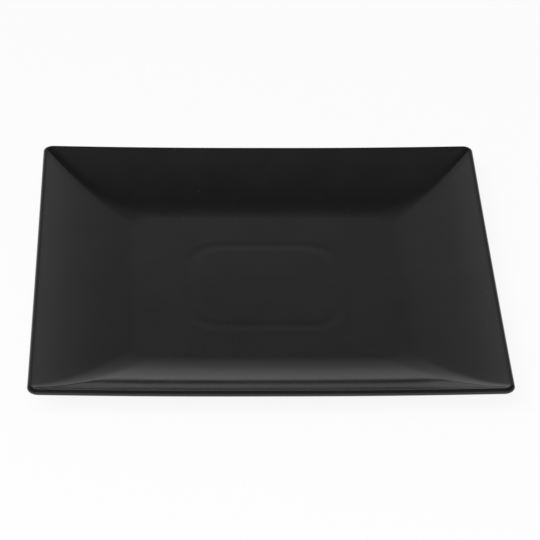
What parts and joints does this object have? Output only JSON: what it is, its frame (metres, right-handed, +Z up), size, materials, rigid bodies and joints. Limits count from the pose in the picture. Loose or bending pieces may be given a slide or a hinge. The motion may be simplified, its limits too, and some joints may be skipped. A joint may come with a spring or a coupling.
{
  "type": "square dinner plate",
  "caption": "Square coupe dinner plate in black satin-glazed stoneware: a flat well, sides that curve up to a rounded lip with slightly raised corners, and a low foot ring that it stands on.",
  "frame": {"origin": "on the table under the middle of the plate, in the plane of the foot ring's tread", "axes": "+Z up out of the well, X and Y along the sides of the square, -Y towards the viewer of the picture"},
  "size_m": [0.26, 0.26, 0.0252],
  "materials": {
    "bare_clay": "unglazed fired stoneware, fine and dry, seen only on the treads of the feet",
    "black_glaze": "satin black glaze with soft reflections"
  },
  "bodies": {
    "root": {"clay_body": "bare_clay", "outer_glaze": "black_glaze", "foot_channel_glaze": "black_glaze", "centre_glaze": "black_glaze"}
  },
  "joints": []
}
